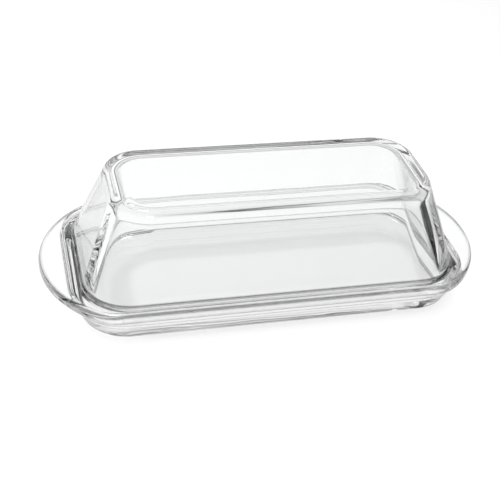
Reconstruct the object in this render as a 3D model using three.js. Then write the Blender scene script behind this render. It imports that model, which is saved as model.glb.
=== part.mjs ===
// A clear pressed-glass butter dish in two loose pieces.
//
//   base    shallow oblong tray on a flat foot, with a half-moon handle at each end,
//           a sunk seat just inside its rim and a round-cornered well for the butter
//   cover   deep oblong glass cover with sloping walls, a slightly swollen lower edge
//           that stands on the seat, and a flat top with a softly rounded edge
//
// Millimetres. +X along the handles, +Y across, +Z up. The origin is the middle of the
// foot's underside, so the dish stands on the plane z = 0.
//
// Both pieces are closed skins lofted through rings. Nearly every ring is a rectangle with
// round corners; only the outside edge of the base follows the handles.

import * as THREE from 'three';

// ---- driving dimensions ----------------------------------------------------------------

const OVERALL_LENGTH = 203; // over both handles
const OVERALL_WIDTH = 87.4; // over the base's rim
const OVERALL_HEIGHT = 54.7; // foot to the top of the cover

const FOOT_LENGTH = 170; // flat underside, as if its edge were sharp
const FOOT_WIDTH = 77.6;
const FOOT_CORNER = 19.8;
const FLARE_ENDS = 5.2; // how far the tray's wall leans out on its way up to the rim
const FLARE_SIDES = 4.2;
const FLARE_CORNER = 3.2; // how much its corners open

const RIM_HEIGHT = 15.9; // top of the rim and the handles
const RIM_DEPTH = 4.5; // thickness of the handles and height of the rim's upright band
const HANDLE_RADIUS = 50.1; // half-moon outline of a handle
const HANDLE_BLEND = 16; // radius that leads the half-moon into the long side

const SEAT_DEPTH = 2; // how far the cover's seat lies below the rim
const FLOOR_THICKNESS = 4.4;

const COVER_TOP_THICKNESS = 4;
// The cover's wall: its thickness measured level, thicker at the ends, and how much tighter
// the corners are inside than outside.
const COVER_WALL = { ends: 5.5, sides: 3, corner: 3 };
const COVER_SLOPE_ENDS = 0.355; // how far an end wall leans in for each millimetre of height
const COVER_SLOPE_SIDES = 0.373; // the same for the long walls
const COVER_GAP = 0.3; // air between the cover's lower edge and the seat

const CORNER_STEPS = 10; // facets of one round corner
const BLEND_STEPS = 5; // facets of a handle's blend
const HANDLE_STEPS = 16; // facets of a handle's half-moon
const ROUND_STEPS = 5; // rings of one rounded edge

// ---- outlines --------------------------------------------------------------------------

const QUARTER = Math.PI / 2;

function arc(x, y, radius, from, to, steps) {
  return new THREE.EllipseCurve(x, y, radius, radius, from, to).getPoints(steps);
}

// A rectangle with round corners, anticlockwise seen from above.
function roundedRectangle(halfLength, halfWidth, corner) {
  const x = halfLength - corner;
  const y = halfWidth - corner;
  return [
    arc(x, y, corner, 0, QUARTER, CORNER_STEPS),
    arc(-x, y, corner, QUARTER, 2 * QUARTER, CORNER_STEPS),
    arc(-x, -y, corner, 2 * QUARTER, 3 * QUARTER, CORNER_STEPS),
    arc(x, -y, corner, 3 * QUARTER, 4 * QUARTER, CORNER_STEPS),
  ].flat();
}

// The outline over rim and handles: straight long sides, a half-moon at each end and a
// blend between them. The insets draw it in at the handles and at the long sides.
function handleOutline(endInset, sideInset) {
  const centre = OVERALL_LENGTH / 2 - HANDLE_RADIUS;
  const radius = HANDLE_RADIUS - endInset;
  const blend = HANDLE_BLEND - endInset;
  const blendY = OVERALL_WIDTH / 2 - sideInset - blend;
  const reach = Math.sqrt((radius - blend) ** 2 - blendY ** 2);
  const blendX = centre + reach;
  const turn = Math.atan2(blendY, reach);
  const end = (side, facing) => [
    ...arc(side * blendX, -side * blendY, blend, facing - QUARTER, facing - turn, BLEND_STEPS),
    ...arc(side * centre, 0, radius, facing - turn, facing + turn, HANDLE_STEPS).slice(1, -1),
    ...arc(side * blendX, side * blendY, blend, facing + turn, facing + QUARTER, BLEND_STEPS),
  ];
  return [...end(1, 0), ...end(-1, 2 * QUARTER)];
}

// ---- rings -----------------------------------------------------------------------------

// One corner of a profile: a round-cornered rectangle at a height. `round` is how far back
// along the profile, to each side, the corner is rounded off.
function step(halfLength, halfWidth, corner, z, round = 0) {
  return { at: new THREE.Vector4(halfLength, halfWidth, corner, z), round };
}

// The same step drawn in by an inset, with its corners kept parallel.
function inset(from, by) {
  const { x, y, z, w } = from.at;
  return step(x - by, y - by, z - by, w);
}

function ringOf(at) {
  return { points: roundedRectangle(at.x, at.y, at.z), z: at.w };
}

// The point of a leg that lies a distance from its corner, measured across the wall.
function alongLeg(corner, other, distance) {
  const across = Math.hypot(other.y - corner.y, other.w - corner.w);
  return corner.clone().lerp(other, distance / across);
}

// Rings along a profile, with each corner that has a round swept by a parabola.
function profileRings(steps) {
  const rings = [];
  steps.forEach(({ at, round }, i) => {
    if (round === 0) {
      rings.push(ringOf(at));
      return;
    }
    const before = alongLeg(at, steps[i - 1].at, round);
    const after = alongLeg(at, steps[i + 1].at, round);
    for (let k = 0; k <= ROUND_STEPS; k++) {
      const t = k / ROUND_STEPS;
      const near = before.clone().lerp(at, t);
      const far = at.clone().lerp(after, t);
      rings.push(ringOf(near.lerp(far, t)));
    }
  });
  return rings;
}

// ---- skin ------------------------------------------------------------------------------

// Triangles of a level face, all turned to face up or all turned to face down.
function levelFaces(outer, holes, faceUp) {
  const all = [outer, ...holes].flat();
  return THREE.ShapeUtils.triangulateShape(outer, holes).map(([a, b, c]) => {
    const turn = THREE.ShapeUtils.area([all[a], all[b], all[c]]);
    return turn > 0 === faceUp ? [a, b, c] : [a, c, b];
  });
}

// A closed skin through the rings. The first and last rings are closed by level faces, and
// so is the step between two rings that have different numbers of points.
function skin(rings) {
  const positions = [];
  const triangles = [];
  const firsts = [];
  for (const { points, z } of rings) {
    firsts.push(positions.length / 3);
    for (const p of points) positions.push(p.x, p.y, z);
  }

  const close = (k, faceUp) => {
    for (const face of levelFaces(rings[k].points, [], faceUp)) {
      triangles.push(...face.map((i) => firsts[k] + i));
    }
  };

  const bridgeLevel = (outer, inner, faceUp) => {
    const count = rings[outer].points.length;
    const place = (i) => (i < count ? firsts[outer] + i : firsts[inner] + i - count);
    for (const face of levelFaces(rings[outer].points, [rings[inner].points], faceUp)) {
      triangles.push(...face.map(place));
    }
  };

  const bridge = (k) => {
    const count = rings[k].points.length;
    for (let i = 0; i < count; i++) {
      const next = (i + 1) % count;
      const a = firsts[k] + i;
      const b = firsts[k] + next;
      const c = firsts[k + 1] + next;
      const d = firsts[k + 1] + i;
      triangles.push(a, b, c, a, c, d);
    }
  };

  close(0, false);
  for (let k = 0; k < rings.length - 1; k++) {
    const outward = rings[k + 1].points.length - rings[k].points.length;
    if (outward > 0) bridgeLevel(k + 1, k, false);
    else if (outward < 0) bridgeLevel(k, k + 1, true);
    else bridge(k);
  }
  close(rings.length - 1, true);

  const geometry = new THREE.BufferGeometry();
  geometry.setAttribute('position', new THREE.Float32BufferAttribute(positions, 3));
  geometry.setIndex(triangles);
  geometry.computeVertexNormals();
  return geometry;
}

// ---- base ------------------------------------------------------------------------------

// The flat foot and the tray's flared wall, up to the underside of the rim.
function trayOutside() {
  const FOOT_ROUND = 1.2;
  const halfLength = FOOT_LENGTH / 2;
  const halfWidth = FOOT_WIDTH / 2;
  const foot = step(halfLength, halfWidth, FOOT_CORNER, 0, FOOT_ROUND);
  const top = step(
    halfLength + FLARE_ENDS,
    halfWidth + FLARE_SIDES,
    FOOT_CORNER + FLARE_CORNER,
    RIM_HEIGHT - RIM_DEPTH,
  );
  return profileRings([inset(foot, 2 * FOOT_ROUND), foot, top]).slice(1);
}

// The upright edge of rim and handles, rounded below and above.
function rimEdge() {
  const LOWER_ROUND = 1.3;
  const UPPER_ROUND = 2;
  const LOWER_SIDE = 0.5; // the rounding is tighter along the long sides
  const UPPER_SIDE = 1.8;
  const rings = [];
  const add = (endInset, sideInset, z) => rings.push({ points: handleOutline(endInset, sideInset), z });
  for (let k = 0; k <= ROUND_STEPS; k++) {
    const turn = (QUARTER * k) / ROUND_STEPS;
    const inward = 1 - Math.sin(turn);
    const z = RIM_HEIGHT - RIM_DEPTH + LOWER_ROUND * (1 - Math.cos(turn));
    add(LOWER_ROUND * inward, LOWER_SIDE * inward, z);
  }
  for (let k = 0; k <= ROUND_STEPS; k++) {
    const turn = (QUARTER * k) / ROUND_STEPS;
    const inward = 1 - Math.cos(turn);
    const z = RIM_HEIGHT - UPPER_ROUND * (1 - Math.sin(turn));
    add(UPPER_ROUND * inward, UPPER_SIDE * inward, z);
  }
  return rings;
}

// The sunk seat for the cover, and the well inside it.
function trayInside() {
  const SEAT_MOUTH = { halfLength: 89.6, halfWidth: 41.2, corner: 20.8, round: 0.35 };
  const SEAT_EDGE = { halfLength: 88.4, halfWidth: 40.95, corner: 20.2, round: 0.7 };
  const WELL_MOUTH = { halfLength: 84.4, halfWidth: 37.4, corner: 16.4, round: 1.2 };
  const WELL_FOOT = { halfLength: 81.4, halfWidth: 35, corner: 15, round: 4.5 };
  const seatZ = RIM_HEIGHT - SEAT_DEPTH;
  const stepAt = (s, z) => step(s.halfLength, s.halfWidth, s.corner, z, s.round);
  const mouth = stepAt(SEAT_MOUTH, RIM_HEIGHT);
  const floor = stepAt(WELL_FOOT, FLOOR_THICKNESS);
  return profileRings([
    inset(mouth, -SEAT_MOUTH.round),
    mouth,
    stepAt(SEAT_EDGE, seatZ),
    stepAt(WELL_MOUTH, seatZ),
    floor,
    inset(floor, WELL_FOOT.round),
  ]).slice(1, -1);
}

function base() {
  return skin([...trayOutside(), ...rimEdge(), ...trayInside()]);
}

// ---- cover -----------------------------------------------------------------------------

function cover() {
  const EDGE = { halfLength: 85.6, halfWidth: 40.5, corner: 21.2, round: 1.3 };
  const CREASE_Z = 17.1; // where the swollen edge meets the wall
  const CREASE = { halfLength: 84.5, halfWidth: 39.4, corner: 20.1 };
  const CREASE_ROUND = 0.8;
  const BEAD_HEIGHT = 1.9; // upright part of the swollen edge
  const BEAD_LEAN = 0.2;
  const BEAD_ROUND = 0.7;
  const CORNER_SLOPE = 0.105; // the corners tighten a little towards the top
  const INNER_EDGE_ROUND = 1.2;
  const TOP_ROUND = 2.5;
  const CEILING_ROUND = 5;
  const OUTSIDE = { ends: 0, sides: 0, corner: 0 };

  const footZ = RIM_HEIGHT - SEAT_DEPTH + COVER_GAP;

  // The sloping wall's outside, or its inside by its thickness, at a height.
  const wall = (z, thickness, round) => {
    const rise = z - CREASE_Z;
    return step(
      CREASE.halfLength - COVER_SLOPE_ENDS * rise - thickness.ends,
      CREASE.halfWidth - COVER_SLOPE_SIDES * rise - thickness.sides,
      CREASE.corner - CORNER_SLOPE * rise - thickness.corner,
      z,
      round,
    );
  };

  const ceiling = wall(OVERALL_HEIGHT - COVER_TOP_THICKNESS, COVER_WALL, CEILING_ROUND);
  const top = wall(OVERALL_HEIGHT, OUTSIDE, TOP_ROUND);
  const bead = step(
    EDGE.halfLength - BEAD_LEAN,
    EDGE.halfWidth - BEAD_LEAN,
    EDGE.corner - BEAD_LEAN,
    footZ + BEAD_HEIGHT,
    BEAD_ROUND,
  );
  return skin(
    profileRings([
      inset(ceiling, CEILING_ROUND),
      ceiling,
      wall(footZ, COVER_WALL, INNER_EDGE_ROUND),
      step(EDGE.halfLength, EDGE.halfWidth, EDGE.corner, footZ, EDGE.round),
      bead,
      wall(CREASE_Z, OUTSIDE, CREASE_ROUND),
      top,
      inset(top, TOP_ROUND),
    ]).slice(1, -1),
  );
}

// ---- assembly --------------------------------------------------------------------------

function piece(name, geometry) {
  const glass = new THREE.MeshStandardMaterial({
    color: 0xf4f7f7,
    roughness: 0.04,
    metalness: 0,
    transparent: true,
    opacity: 0.35,
  });
  const mesh = new THREE.Mesh(geometry, glass);
  mesh.name = name;
  return mesh;
}

const butterDish = new THREE.Group();
butterDish.add(piece('base', base()), piece('cover', cover()));

export default butterDish;
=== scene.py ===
"""A clear pressed-glass butter dish: an oblong tray with two half-moon handles, and a deep loose cover.

Both pieces are closed glass skins, lofted through rings from the middle of the underside, out, up and
over, to the middle of the top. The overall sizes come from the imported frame.
"""

import math

import bpy
from mathutils import Matrix, Vector


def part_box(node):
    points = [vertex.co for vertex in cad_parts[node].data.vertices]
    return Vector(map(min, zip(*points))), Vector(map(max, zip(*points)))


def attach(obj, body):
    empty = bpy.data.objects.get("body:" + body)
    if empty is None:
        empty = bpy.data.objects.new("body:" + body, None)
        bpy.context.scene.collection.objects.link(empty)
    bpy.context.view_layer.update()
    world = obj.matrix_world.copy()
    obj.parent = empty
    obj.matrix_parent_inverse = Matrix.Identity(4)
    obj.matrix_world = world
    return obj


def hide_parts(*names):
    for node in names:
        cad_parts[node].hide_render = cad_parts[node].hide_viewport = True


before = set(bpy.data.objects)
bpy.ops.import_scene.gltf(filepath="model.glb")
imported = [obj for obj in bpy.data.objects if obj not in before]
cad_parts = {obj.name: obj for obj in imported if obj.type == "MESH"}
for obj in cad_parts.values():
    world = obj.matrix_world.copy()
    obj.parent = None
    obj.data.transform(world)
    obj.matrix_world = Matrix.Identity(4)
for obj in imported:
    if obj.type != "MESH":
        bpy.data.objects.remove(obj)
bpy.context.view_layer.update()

MM = 0.001
QUARTER = math.pi / 2

# ---- driving sizes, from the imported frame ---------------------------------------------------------

BASE_LOW, BASE_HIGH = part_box("base")
COVER_LOW, COVER_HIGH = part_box("cover")

HALF_LENGTH = BASE_HIGH.x  # over both handles
HALF_WIDTH = BASE_HIGH.y  # over the rim
RIM_Z = BASE_HIGH.z
COVER_FOOT_Z = COVER_LOW.z
COVER_TOP_Z = COVER_HIGH.z

# ---- sizes of the base ----------------------------------------------------------------------------
# A plan size is (half length, half width, corner radius).

FOOT = Vector((85, 38.8, 19.8)) * MM
FLARE = Vector((5.2, 4.2, 3.2)) * MM  # how much the wall's plan grows up to the rim
FOOT_ROUND = 1.2 * MM
# The foot's dark line is painted shade, drawn on the wall just over the round edge.
FOOT_LINE = 1.3 * MM  # height of the dark line over the foot's round edge
RIM_DEPTH = 4.5 * MM
RIM_LOWER_ROUND = 1.3 * MM
RIM_UPPER_ROUND = 2 * MM
RIM_LOWER_SIDE = 0.5 * MM  # how far the lower round reaches in on the long sides
RIM_UPPER_SIDE = 1.8 * MM
HANDLE_RADIUS = 50.1 * MM
HANDLE_BLEND = 16 * MM
FILLET = 0.9 * MM
FILLET_SHARE = 0.09  # how far the fillet reaches out under the rim, as a share of the way
MOUTH = Vector((89.6, 41.2, 20.8)) * MM
MOUTH_ROUND = 0.35 * MM
SEAT_DEPTH = 2 * MM
SEAT = Vector((88.4, 40.95, 20.2)) * MM
SEAT_ROUND = 0.7 * MM
WELL_MOUTH = Vector((84.4, 37.4, 16.4)) * MM
WELL_MOUTH_ROUND = 1.2 * MM
WELL_FOOT = Vector((81.4, 35, 15)) * MM
WELL_ROUND = 4.5 * MM
FLOOR_THICKNESS = 4.4 * MM

# ---- sizes of the cover ---------------------------------------------------------------------------

COVER_EDGE = Vector((85.6, 40.5, 21.2)) * MM
EDGE_ROUND = 1.3 * MM
EDGE_INNER_ROUND = 1.2 * MM
BEAD_INSET = 0.2 * MM
BEAD_RISE = 1.9 * MM
BEAD_ROUND = 0.7 * MM
CREASE = Vector((84.5, 39.4, 20.1)) * MM
CREASE_RISE = 2.9 * MM
CREASE_ROUND = 0.8 * MM
COVER_WALL = Vector((5.5, 3, 3)) * MM  # measured level, at the ends, the sides and the corners
COVER_SLOPE = Vector((0.355, 0.373, 0.105))  # how much its plan shrinks for each unit of height
COVER_TOP_THICKNESS = 4 * MM
TOP_ROUND = 2.5 * MM
CEILING_ROUND = 5 * MM

# ---- painted shade: how dark the line drawn on each round edge is, from 0 to 1 --------------------

FOOT_LINE_SHADE = 1
FILLET_LINE_SHADE = 0.5
RIM_LOWER_LINE_SHADE = 0.8
RIM_UPPER_LINE_SHADE = 0.55
CREASE_LINE_SHADE = 1
TOP_LINE_SHADE = 0.2

# ---- fineness -------------------------------------------------------------------------------------

CORNER_STEPS = 24
END_STEPS = 12
SIDE_STEPS = 40
BLEND_STEPS = 12
HANDLE_STEPS = 2 * (CORNER_STEPS - BLEND_STEPS) + END_STEPS
ROUND_STEPS = 8
RIM_TOP_STEPS = 4
RIM_UNDER_STEPS = 3
LINE_STEPS = 4
LEG_STEP = 3 * MM
SAME_PLACE = 0.01 * MM
MIDDLE_SHARE = 0.04  # a level face is left this small, as a share of its width, before it is capped
TANGENT_STEP = 1e-4


# ---- rings ----------------------------------------------------------------------------------------
# A ring is a list of (point, outward) pairs, anticlockwise from above. Every ring has the same number
# of pairs, so any two can be joined by quads.


def arc(centre_x, centre_y, radius, start, end, steps):
    pairs = []
    for k in range(steps + 1):
        turn = start + (end - start) * k / steps
        outward = Vector((math.cos(turn), math.sin(turn)))
        pairs.append((Vector((centre_x, centre_y)) + outward * radius, outward))
    return pairs


def straight(before, after, steps):
    """The pairs strictly between two others."""
    pairs = []
    for k in range(1, steps):
        pairs.append((before[0].lerp(after[0], k / steps), before[1]))
    return pairs


def closed_loop(ends, z):
    """A ring from its two rounded ends, joined by the long sides."""
    first, second = ends
    pairs = first + straight(first[-1], second[0], SIDE_STEPS)
    pairs += second + straight(second[-1], first[0], SIDE_STEPS)
    return [(Vector((point.x, point.y, z)), outward) for point, outward in pairs]


def at_height(plan, z):
    """A place on a profile: (half length, half width, corner radius, height)."""
    return Vector((*plan, z))


def rectangle(at):
    """A ring with round corners, at a place on a profile."""
    half_length, half_width, corner, z = at
    ends = []
    for side, facing in ((1, 0), (-1, 2 * QUARTER)):
        x = side * (half_length - corner)
        y = side * (half_width - corner)
        near = arc(x, -y, corner, facing - QUARTER, facing, CORNER_STEPS)
        far = arc(x, y, corner, facing, facing + QUARTER, CORNER_STEPS)
        ends.append(near + straight(near[-1], far[0], END_STEPS) + far)
    return closed_loop(ends, z)


def handles(end_inset, side_inset, z):
    """A ring over rim and handles: straight sides, half-moon ends and the blends between them."""
    centre = HALF_LENGTH - HANDLE_RADIUS
    radius = HANDLE_RADIUS - end_inset
    blend = HANDLE_BLEND - end_inset
    blend_y = HALF_WIDTH - side_inset - blend
    reach = math.sqrt((radius - blend) ** 2 - blend_y**2)
    turn = math.atan2(blend_y, reach)
    ends = []
    for side, facing in ((1, 0), (-1, 2 * QUARTER)):
        x = side * (centre + reach)
        y = side * blend_y
        near = arc(x, -y, blend, facing - QUARTER, facing - turn, BLEND_STEPS)
        moon = arc(side * centre, 0, radius, facing - turn, facing + turn, HANDLE_STEPS)
        far = arc(x, y, blend, facing + turn, facing + QUARTER, BLEND_STEPS)
        ends.append(near + moon[1:-1] + far)
    return closed_loop(ends, z)


def mix(ring_a, ring_b, share):
    pairs = []
    for (point_a, outward_a), (point_b, outward_b) in zip(ring_a, ring_b):
        pairs.append((point_a.lerp(point_b, share), outward_a.lerp(outward_b, share)))
    return pairs


# ---- stretches of a profile -----------------------------------------------------------------------
# A stretch is a function of t, from 0 to 1, that gives a ring, with the number of steps it is cut in
# and how dark the painted shade line drawn on it is, from 0 to 1.


def leg(start, end):
    across = math.hypot(end[1] - start[1], end[3] - start[3])
    return lambda t: rectangle(start.lerp(end, t)), max(1, round(across / LEG_STEP)), 0


def bend(before, corner, after, line_shade):
    """A parabola round a corner."""
    return lambda t: rectangle(before.lerp(corner, t).lerp(corner.lerp(after, t), t)), ROUND_STEPS, line_shade


def towards(corner, other, distance):
    across = math.hypot(other[1] - corner[1], other[3] - corner[3])
    return corner.lerp(other, distance / across)


def inset(at, by):
    return Vector((at[0] - by, at[1] - by, at[2] - by, at[3]))


def profile(knots):
    """Legs between knots and a bend at each inner one; a knot is (at, round, line shade), the last being
    how dark the painted shade line on its bend is.
    """
    stretches = []
    here = knots[0][0]
    for k in range(1, len(knots) - 1):
        corner, size, line_shade = knots[k]
        before = towards(corner, knots[k - 1][0], size)
        after = towards(corner, knots[k + 1][0], size)
        if (before - here).length > SAME_PLACE:
            stretches.append(leg(here, before))
        stretches.append(bend(before, corner, after, line_shade))
        here = after
    if (knots[-1][0] - here).length > SAME_PLACE:
        stretches.append(leg(here, knots[-1][0]))
    return stretches


def level(at):
    """The level face inside a ring, drawn in towards its middle line, as a stretch."""
    half_length, half_width, corner, z = at
    length_left = half_length - half_width * (1 - MIDDLE_SHARE)
    middle = Vector((length_left, half_width * MIDDLE_SHARE, corner * MIDDLE_SHARE, z))
    return lambda t: rectangle(at.lerp(middle, t)), round(half_width / LEG_STEP), 0


def backwards(stretch):
    shape, steps, line_shade = stretch
    return lambda t: shape(1 - t), steps, line_shade


def walk(stretches):
    """(points, normals, painted line shade) of every ring along the stretches."""
    rings = []
    for shape, steps, line_shade in stretches:
        for k in range(1 if rings else 0, steps + 1):
            t = k / steps
            low, high = shape(max(t - TANGENT_STEP, 0)), shape(min(t + TANGENT_STEP, 1))
            points, normals = [], []
            for (point, outward), (below, _), (above, _) in zip(shape(t), low, high):
                move = above - below
                out = move.x * outward.x + move.y * outward.y
                normal = Vector((outward.x * move.z, outward.y * move.z, -out)).normalized()
                points.append(point)
                normals.append(normal)
            rings.append((points, normals, line_shade * math.sin(math.pi * t)))
    return rings


def skin(name, stretches):
    """A closed mesh through the rings, with its exact normals and how dark the painted shade lines on its
    round edges are.
    """
    rings = walk(stretches)
    count = len(rings[0][0])
    vertices = [point for points, _, _ in rings for point in points]
    normals = [normal for _, ring, _ in rings for normal in ring]
    edges = [edge for _, _, edge in rings for _ in range(count)]
    faces = [tuple(reversed(range(count)))]
    for k in range(len(rings) - 1):
        for i in range(count):
            a = k * count + i
            b = k * count + (i + 1) % count
            faces.append((a, b, b + count, a + count))
    last = (len(rings) - 1) * count
    faces.append(tuple(range(last, last + count)))
    mesh = bpy.data.meshes.new(name)
    mesh.from_pydata(vertices, [], faces)
    mesh.shade_smooth()
    mesh.normals_split_custom_set_from_vertices(normals)
    # the painted shade lines go to the shader in the 'edge' attribute
    mesh.attributes.new("edge", "FLOAT", "POINT").data.foreach_set("value", edges)
    piece = bpy.data.objects.new(name, mesh)
    bpy.context.scene.collection.objects.link(piece)
    return piece


# ---- base -----------------------------------------------------------------------------------------


def under_side(foot, wall_top):
    """From the middle of the underside, round the foot and up the wall to the fillet."""
    fillet_start = towards(wall_top, foot, FILLET)
    inner = inset(foot, 2 * FOOT_ROUND)
    line_start = towards(foot, wall_top, FOOT_ROUND)
    line_end = towards(foot, wall_top, FOOT_ROUND + FOOT_LINE)
    stretches = [backwards(level(inner))]
    stretches += profile([(inner, 0, 0), (foot, FOOT_ROUND, FOOT_LINE_SHADE), (fillet_start, 0, 0)])[:-1]
    # a painted dark line of shade just over the foot's round edge
    stretches.append((lambda t: rectangle(line_start.lerp(line_end, t)), LINE_STEPS, FOOT_LINE_SHADE))
    stretches.append(leg(line_end, fillet_start))
    return stretches


def rim_fillet(foot, wall_top, under):
    """The fillet from the wall to the rim's under side, and that side up to the ring under."""
    start = rectangle(towards(wall_top, foot, FILLET))
    corner = rectangle(wall_top)
    end = mix(corner, under, FILLET_SHARE)

    def fillet(t):
        return mix(mix(start, corner, t), mix(corner, end, t), t)

    return [(fillet, ROUND_STEPS, FILLET_LINE_SHADE), (lambda t: mix(end, under, t), RIM_UNDER_STEPS, 0)]


def rim_edge():
    """The rim's outer edge: the lower round, the upright band and the upper round."""
    band_low = RIM_Z - RIM_DEPTH + RIM_LOWER_ROUND
    band_high = RIM_Z - RIM_UPPER_ROUND

    def lower(t):
        inward = 1 - math.sin(QUARTER * t)
        z = RIM_Z - RIM_DEPTH + RIM_LOWER_ROUND * (1 - math.cos(QUARTER * t))
        return handles(RIM_LOWER_ROUND * inward, RIM_LOWER_SIDE * inward, z)

    def band(t):
        return handles(0, 0, band_low + (band_high - band_low) * t)

    def upper(t):
        inward = 1 - math.cos(QUARTER * t)
        z = RIM_Z - RIM_UPPER_ROUND * (1 - math.sin(QUARTER * t))
        return handles(RIM_UPPER_ROUND * inward, RIM_UPPER_SIDE * inward, z)

    return [(lower, ROUND_STEPS, RIM_LOWER_LINE_SHADE), (band, 1, 0), (upper, ROUND_STEPS, RIM_UPPER_LINE_SHADE)]


def inside_of_base():
    """From the rim's level top over the mouth, the seat and the well to the middle of its floor."""
    seat_z = RIM_Z - SEAT_DEPTH
    mouth = at_height(MOUTH, RIM_Z)
    around = inset(mouth, -MOUTH_ROUND)
    well_foot = at_height(WELL_FOOT, FLOOR_THICKNESS)
    well_floor = inset(well_foot, WELL_ROUND)
    top_edge = handles(RIM_UPPER_ROUND, RIM_UPPER_SIDE, RIM_Z)
    stretches = [(lambda t: mix(top_edge, rectangle(around), t), RIM_TOP_STEPS, 0)]
    stretches += profile(
        [
            (around, 0, 0),
            (mouth, MOUTH_ROUND, 0),
            (at_height(SEAT, seat_z), SEAT_ROUND, 0),
            (at_height(WELL_MOUTH, seat_z), WELL_MOUTH_ROUND, 0),
            (well_foot, WELL_ROUND, 0),
            (well_floor, 0, 0),
        ]
    )
    stretches.append(level(well_floor))
    return stretches


def base_glass():
    foot = at_height(FOOT, 0)
    wall_top = at_height(FOOT + FLARE, RIM_Z - RIM_DEPTH)
    under = handles(RIM_LOWER_ROUND, RIM_LOWER_SIDE, RIM_Z - RIM_DEPTH)
    stretches = under_side(foot, wall_top) + rim_fillet(foot, wall_top, under)
    stretches += rim_edge() + inside_of_base()
    return skin("base_glass", stretches)


# ---- cover ----------------------------------------------------------------------------------------


def cover_wall(z, thickness=Vector((0, 0, 0))):
    """A place on the cover's leaning wall, or inside it by the thickness."""
    rise = z - COVER_FOOT_Z - CREASE_RISE
    return at_height(CREASE - COVER_SLOPE * rise - thickness, z)


def cover_glass():
    ceiling = cover_wall(COVER_TOP_Z - COVER_TOP_THICKNESS, COVER_WALL)
    ceiling_flat = inset(ceiling, CEILING_ROUND)
    edge = at_height(COVER_EDGE, COVER_FOOT_Z)
    bead = at_height(COVER_EDGE, COVER_FOOT_Z + BEAD_RISE)
    top = cover_wall(COVER_TOP_Z)
    top_flat = inset(top, TOP_ROUND)
    stretches = [backwards(level(ceiling_flat))]
    stretches += profile(
        [
            (ceiling_flat, 0, 0),
            (ceiling, CEILING_ROUND, 0),
            (cover_wall(COVER_FOOT_Z, COVER_WALL), EDGE_INNER_ROUND, 0),
            (edge, EDGE_ROUND, 0),
            (inset(bead, BEAD_INSET), BEAD_ROUND, 0),
            (cover_wall(COVER_FOOT_Z + CREASE_RISE), CREASE_ROUND, CREASE_LINE_SHADE),
            (top, TOP_ROUND, TOP_LINE_SHADE),
            (top_flat, 0, 0),
        ]
    )
    stretches.append(level(top_flat))
    return skin("cover_glass", stretches)


# ---- glass ----------------------------------------------------------------------------------------

CLEAR = (0.965, 0.969, 0.969, 1)
# painted shade: the nearly black colour the glass turns where it is seen along its skin, drawn as its
# dark outline
PAINTED_OUTLINE_SHADE = (0.03, 0.03, 0.03, 1)
DARKENS_FROM = 0.55  # how slanted the glass is seen where it starts to darken, from 0 to 1
# LINE_BRIGHTNESS is what the painted dark lines of shade leave of the glass colour
LINE_BRIGHTNESS = 0.05
WAVES_PER_METRE = 30
WAVE_HEIGHT = 0.25 * MM
LIGHT_STRAIGHT = 0.99  # share of a lamp's light that one skin lets by, met straight on
LIGHT_SLANTED = 0.92  # the same, met at a slant
TOP_EDGE_SHADE = 4.5  # how strongly the cover's top edge holds lamp light back


def put(tree, value, socket):
    """Set a socket to a number or link an output to it."""
    if isinstance(value, bpy.types.NodeSocket):
        tree.links.new(value, socket)
    else:
        socket.default_value = value


def ranged(tree, value, from_min, from_max, to_min, to_max):
    node = tree.nodes.new("ShaderNodeMapRange")
    for socket, given in zip(node.inputs, (value, from_min, from_max, to_min, to_max)):
        put(tree, given, socket)
    return node.outputs[0]


def calculated(tree, operation, *terms):
    node = tree.nodes.new("ShaderNodeMath")
    node.operation = operation
    for socket, term in zip(node.inputs, terms):
        put(tree, term, socket)
    return node


def glass_colour(tree, facing, edge):
    """Clear, with painted shade: nearly black where the glass is seen along its skin, and thin painted
    dark lines on its round edges.
    """
    tint = tree.nodes.new("ShaderNodeValToRGB")
    clear, outline = tint.color_ramp.elements
    clear.position = DARKENS_FROM
    clear.color = CLEAR
    outline.color = PAINTED_OUTLINE_SHADE
    put(tree, facing, tint.inputs["Fac"])
    # painted shade: the dark lines drawn on the round edges multiply the colour
    drawn = tree.nodes.new("ShaderNodeMix")
    drawn.data_type = "RGBA"
    drawn.blend_type = "MULTIPLY"
    drawn.inputs["Factor"].default_value = 1
    put(tree, tint.outputs["Color"], drawn.inputs["A"])
    put(tree, ranged(tree, edge, 0, 1, 1, LINE_BRIGHTNESS), drawn.inputs["B"])
    return drawn.outputs["Result"]


def pressed_waves(tree, place):
    """The slight waviness that pressing leaves in the skin."""
    waves = tree.nodes.new("ShaderNodeTexNoise")
    waves.inputs["Scale"].default_value = WAVES_PER_METRE
    waves.inputs["Detail"].default_value = 1
    put(tree, place, waves.inputs["Vector"])
    bump = tree.nodes.new("ShaderNodeBump")
    bump.inputs["Distance"].default_value = WAVE_HEIGHT
    put(tree, waves.outputs[0], bump.inputs["Height"])
    return bump.outputs["Normal"]


def lamp_light(tree, facing, edge, place):
    """How much of a lamp's light one skin lets by: less at a slant and at the cover's round top edge."""
    passed = ranged(tree, facing, 0, 1, LIGHT_STRAIGHT, LIGHT_SLANTED)
    parts = tree.nodes.new("ShaderNodeSeparateXYZ")
    put(tree, place, parts.inputs[0])
    low, high = COVER_TOP_Z - 3 * TOP_ROUND, COVER_TOP_Z - 2 * TOP_ROUND
    shade = ranged(tree, parts.outputs["Z"], low, high, 0, -TOP_EDGE_SHADE)
    left = calculated(tree, "MULTIPLY_ADD", edge, shade, 1)
    left.use_clamp = True
    return calculated(tree, "MULTIPLY", passed, left.outputs[0]).outputs[0]


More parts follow.
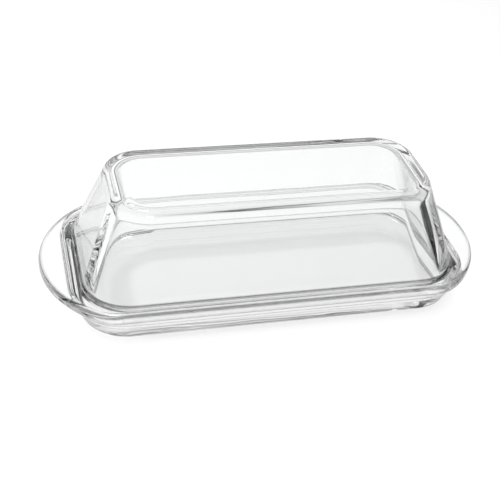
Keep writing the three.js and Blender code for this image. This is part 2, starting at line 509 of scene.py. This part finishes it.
def glass(name):
    """Clear pressed glass. To the eye it bends light; lamps shine straight through it."""
    material = bpy.data.materials.new(name)
    material.use_nodes = True
    tree = material.node_tree
    slant = tree.nodes.new("ShaderNodeLayerWeight")
    slant.inputs["Blend"].default_value = 0.5
    facing = slant.outputs["Facing"]
    # painted shade: how dark the line drawn on each round edge is, read from the 'edge' attribute
    painted_lines = tree.nodes.new("ShaderNodeAttribute")
    painted_lines.attribute_name = "edge"
    edge = painted_lines.outputs["Fac"]
    place = tree.nodes.new("ShaderNodeTexCoord").outputs["Object"]
    seen = tree.nodes["Principled BSDF"]
    seen.inputs["Roughness"].default_value = 0
    seen.inputs["IOR"].default_value = 1.5
    seen.inputs["Transmission Weight"].default_value = 1
    put(tree, glass_colour(tree, facing, edge), seen.inputs["Base Color"])
    put(tree, pressed_waves(tree, place), seen.inputs["Normal"])
    lit = tree.nodes.new("ShaderNodeBsdfTransparent")
    put(tree, lamp_light(tree, facing, edge, place), lit.inputs["Color"])
    path = tree.nodes.new("ShaderNodeLightPath").outputs
    for_light = calculated(tree, "MAXIMUM", path["Is Shadow Ray"], path["Is Diffuse Ray"])
    either = tree.nodes.new("ShaderNodeMixShader")
    put(tree, for_light.outputs[0], either.inputs["Fac"])
    put(tree, seen.outputs[0], either.inputs[1])
    put(tree, lit.outputs[0], either.inputs[2])
    put(tree, either.outputs[0], tree.nodes["Material Output"].inputs["Surface"])
    return material


# ---- studio ---------------------------------------------------------------------------------------

TABLE_RADIUS = 12
TABLE_Z = -0.3 * MM
LAMP_SIZE = 0.18
LAMP_ENERGY = 6.6
LAMP_PLACE = (-0.11, 0.17, 1.0)
LAMP_BACK_TILT = math.radians(10)
LAMP_SIDE_TILT = math.radians(6)
CARD_X = 150 * MM
CARD_NEAR = -250 * MM
CARD_FAR = 30 * MM
CARD_TOP = 60 * MM
ROOM_HEIGHTS = 0.03, 0.26  # the room brightens between these two, as heights of a unit direction
ROOM_BRIGHTNESS = 0.03, 0.85
ROOM_DEPTHS = -0.6, 0.4  # and again between these two, from the front to the back
FRONT_SHARE = 0.4


def plain(name, brightness, roughness, specular):
    material = bpy.data.materials.new(name)
    material.use_nodes = True
    principled = material.node_tree.nodes["Principled BSDF"]
    principled.inputs["Base Color"].default_value = (brightness, brightness, brightness, 1)
    principled.inputs["Roughness"].default_value = roughness
    principled.inputs["Specular IOR Level"].default_value = specular
    return material


def table():
    place = (0, 0, TABLE_Z)
    bpy.ops.mesh.primitive_circle_add(vertices=64, radius=TABLE_RADIUS, fill_type="NGON", location=place)
    top = bpy.context.object
    top.name = "table"
    top.data.materials.append(plain("white_table", brightness=0.9, roughness=0.7, specular=0.2))


def surroundings():
    """A white room: dark towards the horizon, bright higher up, and dimmer in front than behind."""
    world = bpy.data.worlds.new("studio")
    bpy.context.scene.world = world
    world.use_nodes = True
    tree = world.node_tree
    parts = tree.nodes.new("ShaderNodeSeparateXYZ")
    put(tree, tree.nodes.new("ShaderNodeTexCoord").outputs["Generated"], parts.inputs[0])
    height = ranged(tree, parts.outputs["Z"], *ROOM_HEIGHTS, *ROOM_BRIGHTNESS)
    behind = ranged(tree, parts.outputs["Y"], *ROOM_DEPTHS, FRONT_SHARE, 1)
    brightness = calculated(tree, "MULTIPLY", height, behind)
    put(tree, brightness.outputs[0], tree.nodes["Background"].inputs["Color"])
    tree.nodes["Background"].inputs["Strength"].default_value = 1


def softbox():
    light = bpy.data.lights.new("softbox", "AREA")
    light.shape = "RECTANGLE"
    light.size = LAMP_SIZE
    light.size_y = LAMP_SIZE
    light.energy = LAMP_ENERGY
    lamp = bpy.data.objects.new("softbox", light)
    lamp.location = LAMP_PLACE
    lamp.rotation_euler = (-LAMP_BACK_TILT, -LAMP_SIDE_TILT, 0)
    bpy.context.scene.collection.objects.link(lamp)


def flags():
    """Low black cards left and right of the dish. Only the glass shows them."""
    for side in (1, -1):
        x = side * CARD_X
        corners = [(x, CARD_NEAR, 0), (x, CARD_FAR, 0), (x, CARD_FAR, CARD_TOP), (x, CARD_NEAR, CARD_TOP)]
        mesh = bpy.data.meshes.new("flag")
        mesh.from_pydata(corners, [], [(0, 1, 2, 3)])
        mesh.materials.append(plain("black_flag", brightness=0.01, roughness=0.5, specular=0))
        flag = bpy.data.objects.new("flag", mesh)
        bpy.context.scene.collection.objects.link(flag)
        flag.visible_camera = False
        flag.visible_shadow = False
        flag.visible_diffuse = False


def camera():
    azimuth = math.radians(-17.01)
    elevation = math.radians(35.8)
    roll = math.radians(-5.53)
    distance = 463 * MM
    target = Vector((-5.34 * MM, 0, 12.14 * MM))
    back = Vector(
        (
            math.sin(azimuth) * math.cos(elevation),
            -math.cos(azimuth) * math.cos(elevation),
            math.sin(elevation),
        )
    )
    right = Vector((math.cos(azimuth), math.sin(azimuth), 0))
    up = back.cross(right)
    data = bpy.data.cameras.new("camera")
    data.lens = 71.88
    data.sensor_width = 36
    data.clip_start = 0.01
    data.clip_end = 50
    view = bpy.data.objects.new("camera", data)
    across = right * math.cos(roll) - up * math.sin(roll)
    upright = right * math.sin(roll) + up * math.cos(roll)
    turn = Matrix((across, upright, back)).transposed().to_4x4()
    view.matrix_world = Matrix.Translation(target + back * distance) @ turn
    bpy.context.scene.collection.objects.link(view)
    bpy.context.scene.camera = view


def light_paths():
    scene = bpy.context.scene
    scene.view_settings.view_transform = "Standard"
    scene.cycles.max_bounces = 32
    scene.cycles.transmission_bounces = 32
    scene.cycles.glossy_bounces = 16
    scene.cycles.diffuse_bounces = 4
    scene.cycles.caustics_refractive = False
    scene.cycles.caustics_reflective = False
    scene.cycles.blur_glossy = 0


# ---- the dish -------------------------------------------------------------------------------------

camera()
table()
surroundings()
softbox()
flags()
light_paths()

clear = glass("clear_glass")
for make, body, node in ((base_glass, "dish", "base"), (cover_glass, "lid", "cover")):
    piece = make()
    piece.data.materials.append(clear)
    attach(piece, body)
    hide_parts(node)
